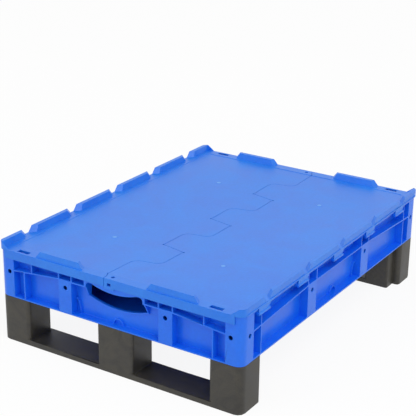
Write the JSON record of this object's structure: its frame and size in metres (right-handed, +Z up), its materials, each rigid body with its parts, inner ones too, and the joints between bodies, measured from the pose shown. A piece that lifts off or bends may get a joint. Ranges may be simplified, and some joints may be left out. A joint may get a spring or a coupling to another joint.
{
  "type": "stacking container",
  "caption": "Low rectangular plastic stacking container with ribbed side walls, hand grips, a two-part hinged lid with an interlocking wavy seam, and runners for forklift handling.",
  "frame": {"origin": "on the ground, in the middle of the footprint", "axes": "+X along the long sides, towards the end with the deeper runner; +Y across the container, towards the left lid half; +Z up"},
  "size_m": [0.8052, 0.6116, 0.2258],
  "materials": {
    "body_blue": "moulded polypropylene, light satin",
    "lid_blue": "moulded polypropylene, fine grain",
    "runner_grey": "moulded recycled polyethylene, dull",
    "screw_zinc": "zinc plated"
  },
  "bodies": {
    "base": {"container_body": "body_blue", "runner_front": "runner_grey", "runner_rear": "runner_grey", "runner_screw_1": "screw_zinc", "runner_screw_2": "screw_zinc", "runner_screw_3": "screw_zinc", "runner_screw_4": "screw_zinc", "runner_screw_5": "screw_zinc", "runner_screw_6": "screw_zinc", "runner_screw_7": "screw_zinc", "runner_screw_8": "screw_zinc", "runner_screw_9": "screw_zinc", "runner_screw_10": "screw_zinc", "runner_screw_11": "screw_zinc", "runner_screw_12": "screw_zinc"},
    "left_lid": {"lid_left": "lid_blue"},
    "right_lid": {"lid_right": "lid_blue"}
  },
  "joints": [
    {"name": "left_lid_hinge", "type": "hinge", "parent": "base", "child": "left_lid", "pos_m": [0, 0.3031, 0.1975], "axis": [-1, 0, 0], "range_deg": [0, 180]},
    {"name": "right_lid_hinge", "type": "hinge", "parent": "base", "child": "right_lid", "pos_m": [0, -0.3031, 0.1975], "axis": [1, 0, 0], "range_deg": [0, 180]}
  ]
}
